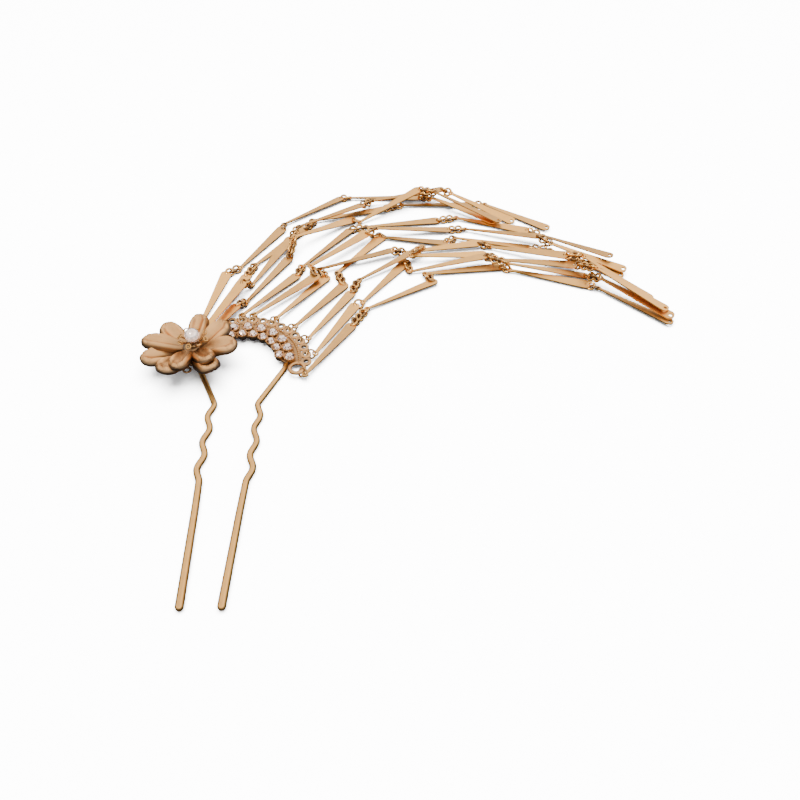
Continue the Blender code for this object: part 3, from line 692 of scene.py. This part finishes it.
class HAIRPIN_OT_tassels(bpy.types.Operator):
    """Builds the eleven tassel strands: their bars with holes, and the jump rings between them"""
    bl_idname = "hairpin.tassels"
    bl_label = "Tassel strands"

    def execute(self, context):
        size = sizes()
        bar = bar_shell(size)
        for number, strand in enumerate(STRANDS):
            rim, out, points = route(strand)
            hook = ring(HOOK_RING_RADIUS - 0.2, size.ring_wire * 0.75)
            rings = [moved(hook, span_frame(rim, rim + out, HOOK_RING_ROLL), rim + 0.2 * out, tone=0.3)]
            bars = []
            shift = len(points) % 2
            for index in range(len(points) - 1):
                start, end = points[index], points[index + 1]
                if index % 2 == shift:
                    tone = 0.82 + 0.22 * math.sin(2.4 * number + 1.7 * index)
                    roll = math.radians(size.bar_roll) * math.sin(3.1 * number + 2.3 * index)
                    bars.append(moved(bar, span_frame(start, end, roll), start, tone))
                else:
                    rings += joint_rings(start, end, size.ring_wire, number + index // 2)
            node = "tassel_strand_" + strand.name
            finished("bars_" + strand.name, bars, bar_gold(), [node])
            finished("rings_" + strand.name, rings, ring_gold(), [node], 60.0)
        return {"FINISHED"}


# Fork and crescent

def leg_path(side):
    """A leg's middle line and its radius.

    A straight shoulder runs in to three waves, x = WAVE_SPREAD / 2 - WAVE_HEIGHT cos(2 pi turns), then
    a slow bend and a straight run. The radius grows evenly from head to tip, where it closes as a dome.
    """
    top = -SHOULDER_RUN - 1.2
    turns = np.linspace(0, WAVE_COUNT, WAVE_COUNT * 24 + 1)
    wave_x = WAVE_SPREAD / 2 - WAVE_HEIGHT * np.cos(2 * math.pi * turns)
    wave_y = top - turns * WAVE_PITCH
    tip_x = TIP_SPREAD / 2
    bend_x = tip_x + (WAVE_SPREAD - TIP_SPREAD) / 2 * 0.45
    key_x = np.concatenate([[HEAD_SPREAD / 2 + 0.5, HEAD_SPREAD / 2], wave_x, [bend_x, tip_x, tip_x]])
    key_y = np.concatenate([[3.0, -1.2], wave_y, [wave_y[-1] - 8.0, -LEG_LENGTH + 1.2, -LEG_LENGTH]])
    y = np.concatenate([np.linspace(3.0, -LEG_LENGTH + 1.0, 260),
                        -LEG_LENGTH + 1.0 - np.sin(np.linspace(0, math.pi / 2, 9))[1:]])
    x = np.interp(-y, -key_y, key_x)
    kernel = np.hanning(9)
    x = np.convolve(np.pad(x, 4, mode="edge"), kernel / kernel.sum(), mode="valid")
    full = (WIRE_AT_HEAD + (WIRE_AT_TIP - WIRE_AT_HEAD) * np.clip(-y / LEG_LENGTH, 0, 1)) / 2
    dome = np.clip((-LEG_LENGTH + 1.0 - y) / 1.0, 0, 1)
    radius = full * np.sqrt(np.maximum(1 - dome ** 2, 0.0))
    path = np.stack([side * x + FORK_OFFSET, y, full], axis=-1)
    return path[:-1], radius[:-1]


class HAIRPIN_OT_fork(bpy.types.Operator):
    """Builds the fork's two waved legs"""
    bl_idname = "hairpin.fork"
    bl_label = "Fork"

    def execute(self, context):
        turn = rotation(FORK_TURN)
        legs = [moved(tube(*leg_path(side), sides=20), turn, tone=0.75) for side in (1, -1)]
        finished("fork", legs, frame_gold(), ["hairpin_frame"], 60.0)
        return {"FINISHED"}


def plate_shell():
    """The crescent's plate: a flat band bent round by the angle.

    Its section is a superellipse, half the width times |cos|^0.12 by half the thickness times
    |sin|^0.5, and its inner edge moves out by 2.2 q^2 over the last 0.22 radians.
    """
    past = math.radians(2.0)
    angle = np.linspace(-past, math.pi + past, 121)
    round_part = np.linspace(0, 2 * math.pi, 33)
    round_part[-1] = 0.0
    ending = np.clip(1 - np.minimum(angle + past, math.pi + past - angle) / 0.22, 0, 1)[:, None]
    inner = PLATE_INNER + 0.9 + 2.2 * ending ** 2
    mean, half = (inner + PLATE_OUTER) / 2, (PLATE_OUTER - inner) / 2
    across = half * (np.sign(np.cos(round_part)) * np.abs(np.cos(round_part)) ** 0.12)[None, :]
    rise = (PLATE_TOP - PLATE_BOTTOM) / 2 * np.sign(np.sin(round_part)) * np.abs(np.sin(round_part)) ** 0.5
    grid = polar(mean + across, angle[:, None], PLATE_MIDDLE + rise[None, :])
    ends = [np.repeat(grid[end].mean(axis=0)[None, None], len(round_part), axis=1) for end in (0, -1)]
    return sheet(np.concatenate([ends[0], grid, ends[1]], axis=0)[:, ::-1])


class HAIRPIN_OT_crescent(bpy.types.Operator):
    """Builds the crescent's plate, its gallery of loops, its end rings and its rim of beads"""
    bl_idname = "hairpin.crescent"
    bl_label = "Crescent"

    def execute(self, context):
        size = sizes()
        turn = rotation(FORK_TURN)
        hole, rim = size.loop_hole, LOOP_OUTER + 0.1
        loop = turned([(hole, -0.3), (hole + 0.14, -0.42), (rim - 0.25, -0.42), (rim, -0.2), (rim, 0.2),
                       (rim - 0.25, 0.42), (hole + 0.14, 0.42), (hole, 0.3), (hole, -0.3)], 28)
        out = np.linalg.norm(loop.points[:, :2], axis=1)
        # Painted shade in the loop's hole: the tone is darkest at the hole's edge and lightens outward.
        loop = loop._replace(tone=0.05 + 0.75 * np.clip((out - hole) / 0.35, 0, 1))
        shells = [moved(plate_shell(), turn, tone=0.35)]
        for number in range(GALLERY_LOOPS):
            middle = polar(GALLERY_RADIUS, gallery_angle(number), PLATE_MIDDLE)
            shells.append(moved(loop, turn, turn @ middle))
        filler = turned([(0.0, -0.32), (0.45, -0.25), (0.6, 0.0), (0.45, 0.25), (0.0, 0.32)], 16)
        for number in range(GALLERY_LOOPS - 1):
            middle = polar(GALLERY_FILLER_RADIUS, gallery_angle(number + 0.5), PLATE_MIDDLE)
            shells.append(moved(filler, turn, turn @ middle, tone=0.3))
        small = polar(SMALL_END_RING_RADIUS, math.pi + SMALL_END_RING_PAST_HALF, PLATE_MIDDLE)
        end_ring = ring(END_RING_MEAN, END_RING_WIRE, 40, 14)
        small_ring = ring(SMALL_END_RING_MEAN, SMALL_END_RING_WIRE)
        shells.append(moved(end_ring, turn, turn @ end_ring_middle(), tone=0.8))
        shells.append(moved(small_ring, turn, turn @ small, tone=0.35))
        count = size.rim_beads
        bead = turned([(0.0, -0.34), (0.2, -0.27), (0.32, -0.1), (0.34, 0.0), (0.32, 0.1), (0.2, 0.27),
                       (0.0, 0.34)], 12)
        for number in range(count):
            angle = -PLATE_PAST_HALF + 0.04 + (math.pi + 2 * PLATE_PAST_HALF - 0.08) * number / (count - 1)
            spot = polar(RIM_BEAD_RADIUS, angle, PLATE_TOP + 0.08)
            shells.append(moved(bead, turn, turn @ spot, tone=0.65))
        post = turned([(0.0, PLATE_TOP), (1.2, PLATE_TOP), (1.0, PLATE_TOP + 0.9), (1.2, POST_TOP),
                       (0.0, POST_TOP)], 24)
        shells.append(moved(post, None, (*FLOWER, 0.0), tone=0.4))
        finished("crescent", shells, petal_gold(), ["hairpin_frame"], 50.0)
        return {"FINISHED"}


# Stones

def stone_shell(girdle, height, facets=8):
    """A brilliant cut crown: a table, a ring of star and kite facets, and a round girdle, all flat.

    The facets' corners lie on circles: the table at 0.55 of the girdle's radius, the middle corners at
    0.8 and turned by half a facet, the girdle, and the foot under it. Every facet has its own tone:
    painted glints on some facets and painted dark reflections on others.
    """
    half = math.pi / facets
    even = np.arange(facets) * 2 * half
    table = polar(girdle * 0.55, even, height)
    middle = polar(girdle * 0.80, even + half, height * 0.62)
    edge = polar(girdle, np.arange(2 * facets) * half, 0.0)
    foot = polar(girdle * 0.8, np.arange(2 * facets) * half, -height * 0.5)
    point, between = edge[0::2], edge[1::2]

    def after(corners):
        return np.roll(corners, -1, axis=0)

    triangles = np.concatenate([np.stack([table, middle, after(table)], axis=1),
                                np.stack([middle, point, between], axis=1),
                                np.stack([middle, between, after(point)], axis=1)])
    quads = np.concatenate([np.stack([table, np.roll(middle, 1, axis=0), point, middle], axis=1),
                            np.stack([edge, foot, after(foot), after(edge)], axis=1)])
    groups = [table[None], triangles, quads, foot[None, ::-1]]
    counts = np.concatenate([np.full(len(group), group.shape[1]) for group in groups])
    points = np.concatenate([group.reshape(-1, 3) for group in groups])
    # Painted glints and painted dark reflections: each facet gets its own tone.
    shade = 0.5 + 0.5 * np.sin(12.9898 * np.arange(1, len(counts) + 1) + 1.3)
    return Shell(points, np.arange(len(points)), counts, np.repeat(shade, counts))


def cup_shell(girdle, rim):
    """The stone's cup: a deep flared wall turned over into a thin light rim, with painted shade at its foot
    that lightens up to the rim.
    """
    shell = turned([(girdle * 0.75, PLATE_BOTTOM), (girdle * 0.92, PLATE_MIDDLE), (girdle + 0.1, rim - 0.4),
                    (girdle + 0.14, rim), (girdle + 0.06, rim + 0.12), (girdle - 0.08, rim + 0.1),
                    (girdle - 0.12, rim - 0.1), (girdle * 0.6, PLATE_TOP + 0.2),
                    (0.0, PLATE_TOP + 0.15)], 28)
    # Painted shade: the tone is darkest at the cup's foot and lightens up to its rim.
    return shell._replace(tone=0.05 + 0.65 * np.clip((shell.points[:, 2] - rim + 0.9) / 0.9, 0, 1))


class HAIRPIN_OT_stones(bpy.types.Operator):
    """Builds the cut stones and the cups that hold them"""
    bl_idname = "hairpin.stones"
    bl_label = "Stones"

    def execute(self, context):
        turn = rotation(FORK_TURN)
        stones, cups = [], []
        for row in STONE_ROWS:
            cup = cup_shell(row.girdle, row.rim)
            stone = stone_shell(row.girdle - 0.05, 0.62)
            claw = turned([(0.0, -0.28), (0.17, -0.2), (0.23, 0.0), (0.17, 0.2), (0.0, 0.28)], 10)
            for number in range(row.count):
                angle = row.first + number * row.pitch
                middle = turn @ polar(row.radius, angle, 0.0)
                cups.append(moved(cup, None, middle))
                twist = rotation(angle + 0.35 * number)
                stones.append(moved(stone, twist, middle + np.array([0, 0, row.rim + 0.02])))
                for k in range(row.claws):
                    around = angle + 2 * math.pi * (k + 0.5) / row.claws
                    tip = polar(row.girdle + 0.1, around, row.rim + 0.1)
                    cups.append(moved(claw, None, middle + tip, tone=0.75))
        finished("stones", stones, shared("crystal", crystal), ["hairpin_frame"], 0.0)
        finished("stone_cups", cups, petal_gold(), ["hairpin_frame"], 50.0)
        return {"FINISHED"}


# Flower

def petal_shell(size, reach, width, rise, power):
    """A petal along +X: a dished face with a blunt round tip, and a flank that slopes down round it.

    With u from root to tip, the half width is W (a + (1 - a) sin(pi/2 min(1, u/0.6))), closed by
    sqrt(1 - t^2.2) over the last 30 percent. With v across, the height rises with a power of u, the
    middle is sunk by the dish and the cup times (1 - f^2) sin(pi u^1.35), where f is |v| as a share of
    the face, and the tip turns up by the lip. The face is the same outline drawn smaller, and beyond it a
    flank slopes down to a short wall. The face has painted shade at its root and a painted highlight
    along its rim, and the flank and the wall have painted shade.
    """
    closing = PETAL_CLOSE + (1 - PETAL_CLOSE) * np.sin(np.linspace(0, math.pi / 2, 14))[1:]
    u = np.concatenate([np.linspace(0, PETAL_CLOSE, 20), closing])[:, None]
    v = np.sin(np.linspace(-math.pi / 2, math.pi / 2, 25))
    drop = np.concatenate([[1.0, 0.5], np.zeros(25), [0.5, 1.0]])[None, :]
    v = np.concatenate([[-1.0, -1.0], v, [1.0, 1.0]])[None, :]

    def outline(share):
        past = np.clip((share - PETAL_CLOSE) / (1 - PETAL_CLOSE), 0, 1)
        close = np.sqrt(np.clip(1 - past ** 2.2, 0, 1))
        wide = np.sin(math.pi / 2 * np.clip(share / 0.6, 0, 1))
        spread = PETAL_ROOT_SHARE + (1 - PETAL_ROOT_SHARE) * wide
        return (width / 2 - PETAL_WALL_ROOM) * spread * np.maximum(close, 0.02)

    def rim_height(share):
        swell = np.sin(math.pi * share ** 1.35)
        lip = size.petal_lip * np.clip((share - 0.76) / 0.24, 0, 1) ** 2
        return rise * share ** power + PETAL_CUP * swell + lip

    swell = np.sin(math.pi * u ** 1.35)
    limit = PETAL_FACE_SHARE * outline(np.minimum(u / PETAL_FACE_END, 1)) / outline(u)
    face = np.clip(np.abs(v) / limit, 0, 1)
    beside = np.clip((np.abs(v) - limit) / (1 - limit), 0, 1)
    ahead = np.clip((u - PETAL_FACE_END) / (1 - PETAL_FACE_END), 0, 1)
    flank = np.maximum(beside, ahead)
    edge = np.exp(-((limit - np.abs(v)) / 0.08) ** 2)
    z = rim_height(u) - (PETAL_CUP + size.petal_dish) * swell * (1 - face ** 2)
    fall = size.petal_flank * flank + size.petal_wall * drop
    z = z + (size.petal_rim * edge - fall) * np.clip(u * 3, 0, 1)
    length = reach - PETAL_ROOT - PETAL_WALL_ROOM
    x = PETAL_ROOT + length * u
    grid = np.stack(np.broadcast_arrays(x, outline(u) * v, z), axis=-1)
    shell = thickened(sheet(grid), size.petal_sheet, 0.12, 1.0)
    out = np.clip((shell.points[:, 0] - PETAL_ROOT) / length, 0, 1)
    across = np.maximum(np.abs(shell.points[:, 1]) / (outline(out) + 0.05), 1.0 * (out > 0.995))
    # Painted shade at the root that lightens out to the tip, and a painted highlight along the rim bead.
    tone = 0.25 + 0.5 * np.clip(out * 1.8, 0, 1) + 0.15 * (np.abs(across - PETAL_FACE_SHARE) < 0.1)
    # Painted shade on the flank and the hanging wall, where they lie below the rim's height.
    below = np.clip((rim_height(out) - 0.1 - shell.points[:, 2]) / 0.3, 0, 1)
    wall = (np.maximum(across, out * 0.94) > 0.88) * below
    return shell._replace(tone=tone * (1 - wall) + 0.1 * wall)


def build_petals(name, table, width, base_z, size):
    """One layer of petals on its hub."""
    shells = []
    for count, petal in enumerate(table):
        reach, rise = size.petal_reach * petal.share, PETAL_RISE * petal.rise
        shape = petal_shell(size, reach, width, rise, petal.power)
        lift = base_z + (0.5 + count % 3) * 0.1
        shells.append(moved(shape, rotation(math.radians(petal.degrees)), (*FLOWER, lift)))
    hub = turned([(0.0, 0.0), (2.3, 0.0), (2.35, 0.5), (1.9, 1.0), (0.0, 1.0)], 32)
    shells.append(moved(hub, None, (*FLOWER, base_z), tone=0.1))
    finished(name, shells, petal_gold(), ["flower_" + name], 50.0)


def stamen_shells(setting, base_z):
    """Eight curled wires on a small cup, round the pearl's own middle.

    With t from root to tip, a wire reaches 0.6 + 3 t, rises by 0.9 sin(pi t / 2) + t^3, bends aside by
    0.25 t^2 radians, and ends in a small ring.
    """
    shells = []
    t = np.linspace(0, 1, 24)
    height = base_z + 0.4 + 0.9 * np.sin(math.pi * 0.5 * t) + 1.0 * t ** 3
    for count in range(STAMENS):
        angle = 2 * math.pi * (count + 0.5) / STAMENS
        path = polar(0.6 + 3.0 * t, angle + 0.25 * t ** 2, height)
        shells.append(moved(tube(path, 0.24, 8), None, setting, tone=0.3))
        curl = rotation(angle + 0.25) @ rotation(math.radians(35 if count % 2 else -35), 1)
        shells.append(moved(ring(0.62, 0.36, 20, 8), curl, path[-1] + setting, tone=0.6))
    cup = turned([(0.0, 0.0), (1.5, 0.0), (1.7, 0.5), (1.45, 0.85), (0.0, 0.6)], 28)
    shells.append(moved(cup, None, setting + np.array([0, 0, base_z]), tone=0.15))
    return shells


class HAIRPIN_OT_flower(bpy.types.Operator):
    """Builds the flower: two layers of petals, the curled stamens and the pearl"""
    bl_idname = "hairpin.flower"
    bl_label = "Flower"

    def execute(self, context):
        size = sizes()
        lower_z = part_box("flower_lower_petals")[0][2] / MM
        upper_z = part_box("flower_upper_petals")[0][2] / MM
        build_petals("lower_petals", LOWER_PETALS, size.lower_petal_width, lower_z, size)
        build_petals("upper_petals", UPPER_PETALS, size.upper_petal_width, upper_z, size)
        setting = np.array([FLOWER[0] + PEARL_OFF_CENTRE, FLOWER[1], 0.0])
        stamens = stamen_shells(setting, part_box("flower_stamens")[0][2] / MM)
        finished("stamens", stamens, ring_gold(), ["flower_stamens"], 50.0)
        angle = np.linspace(-math.pi / 2, math.pi / 2, 25)
        radius = (PEARL_HIGH[2] - PEARL_LOW[2]) / 2 / MM
        profile = np.stack([radius * np.cos(angle), radius * np.sin(angle)], axis=-1)
        profile[[0, -1], 0] = 0.0
        ball = moved(turned(profile, 48), None, setting + np.array([0, 0, PEARL_Z]))
        skin = shared("pearl_skin", lambda: pearl_skin(look()))
        finished("pearl_bead", [ball], skin, ["pearl"], 180.0)
        return {"FINISHED"}


# Stage

class HAIRPIN_OT_stage(bpy.types.Operator):
    """Lays the pale table, sets the lights and places the camera"""
    bl_idname = "hairpin.stage"
    bl_label = "Stage"

    def execute(self, context):
        scene = context.scene
        corners = FLOOR_HALF * np.array([[-1, -1, 0], [1, -1, 0], [1, 1, 0], [-1, 1, 0]])
        floor_shell = Shell(corners, np.arange(4), np.array([4]), np.full(4, PLAIN_TONE))
        table = Finish("table", Roughness=0.9, Base_Color=(0.92, 0.92, 0.92, 1.0))
        floor = as_object("table_top", [floor_shell], [table.material], 0.0)
        floor.visible_glossy = False
        world = bpy.data.worlds.new("studio")
        world.use_nodes = True
        only_floor = bpy.data.collections.new("only_floor")
        only_floor.objects.link(floor)
        studio_light(world.node_tree)
        scene.world = world
        sparkling = bpy.data.collections.new("sparkling")
        for piece in scene.objects:
            if piece.name.startswith(("pearl_bead", "stones", "rings_")):
                sparkling.objects.link(piece)
        for lamp, lit in ((WASH, only_floor), (KEY, sparkling)):
            light = bpy.data.lights.new(lamp.name, "AREA")
            light.shape = "SQUARE"
            light.size = lamp.width
            light.energy = lamp.power
            thing = bpy.data.objects.new(lamp.name, light)
            scene.collection.objects.link(thing)
            thing.matrix_world = aimed_from(lamp.place)
            thing.light_linking.receiver_collection = lit
        lens = bpy.data.cameras.new("camera")
        lens.sensor_width = 36.0
        lens.lens = 36.0
        lens.clip_start = 0.01
        camera = bpy.data.objects.new("camera", lens)
        scene.collection.objects.link(camera)
        camera.location = np.array(CAMERA_PLACE) * MM + MIDDLE
        camera.rotation_euler = (math.radians(90 - CAMERA_DOWN), 0, 0)
        scene.camera = camera
        return {"FINISHED"}


def studio_light(tree):
    """A soft room: dark near and below the table's level, brightest half of the way up, dimmer overhead."""
    nodes, links = tree.nodes, tree.links
    background = nodes["Background"]
    spot = nodes.new("ShaderNodeTexCoord")
    parts = nodes.new("ShaderNodeSeparateXYZ")
    links.new(spot.outputs["Generated"], parts.inputs[0])
    height = Value(tree, parts.outputs["Z"])
    side = Value(tree, parts.outputs["X"])
    strength = 0.11 + 2.4 * height.between(0.12, 0.54) - 0.9 * height.between(0.56, 0.72)
    strength = strength + 0.45 * side.between(-0.2, 0.7) * height.between(0.0, 0.4)
    links.new(strength.socket, background.inputs["Strength"])
    tint = nodes.new("ShaderNodeMix")
    tint.data_type = "RGBA"
    tint.inputs[6].default_value = (0.62, 0.74, 1.0, 1.0)
    tint.inputs[7].default_value = (1.0, 0.98, 0.96, 1.0)
    links.new(height.between(0.05, 0.5).socket, tint.inputs[0])
    links.new(tint.outputs[2], background.inputs["Color"])


def aimed_from(place):
    """The matrix of a lamp at a place that shines at the frame's origin."""
    spot = Vector(place)
    matrix = (-spot).to_track_quat("-Z", "Y").to_matrix().to_4x4()
    matrix.translation = spot
    return matrix


class HAIRPIN_PT_panel(bpy.types.Panel):
    """The hairpin's settings and its builders"""
    bl_idname = "HAIRPIN_PT_panel"
    bl_label = "Hairpin"
    bl_space_type = "VIEW_3D"
    bl_region_type = "UI"
    bl_category = "Hairpin"

    def draw(self, context):
        for group in (context.scene.hairpin_sizes, context.scene.hairpin_look):
            for name in group.__annotations__:
                self.layout.prop(group, name)
        for operator in OPERATORS:
            self.layout.operator(operator.bl_idname)


OPERATORS = (HAIRPIN_OT_fork, HAIRPIN_OT_crescent, HAIRPIN_OT_stones, HAIRPIN_OT_flower, HAIRPIN_OT_tassels,
             HAIRPIN_OT_stage)
CLASSES = (HairpinLook, HairpinSizes) + OPERATORS + (HAIRPIN_PT_panel,)


def register():
    """Registers the classes and their settings."""
    for item in CLASSES:
        bpy.utils.register_class(item)
    bpy.types.Scene.hairpin_look = PointerProperty(type=HairpinLook)
    bpy.types.Scene.hairpin_sizes = PointerProperty(type=HairpinSizes)


def unregister():
    """Takes them out again."""
    del bpy.types.Scene.hairpin_sizes
    del bpy.types.Scene.hairpin_look
    for item in reversed(CLASSES):
        bpy.utils.unregister_class(item)


def main():
    """Builds everything in order."""
    register()
    bpy.ops.hairpin.fork()
    bpy.ops.hairpin.crescent()
    bpy.ops.hairpin.stones()
    bpy.ops.hairpin.flower()
    bpy.ops.hairpin.tassels()
    bpy.ops.hairpin.stage()


if __name__ == "__main__":
    main()
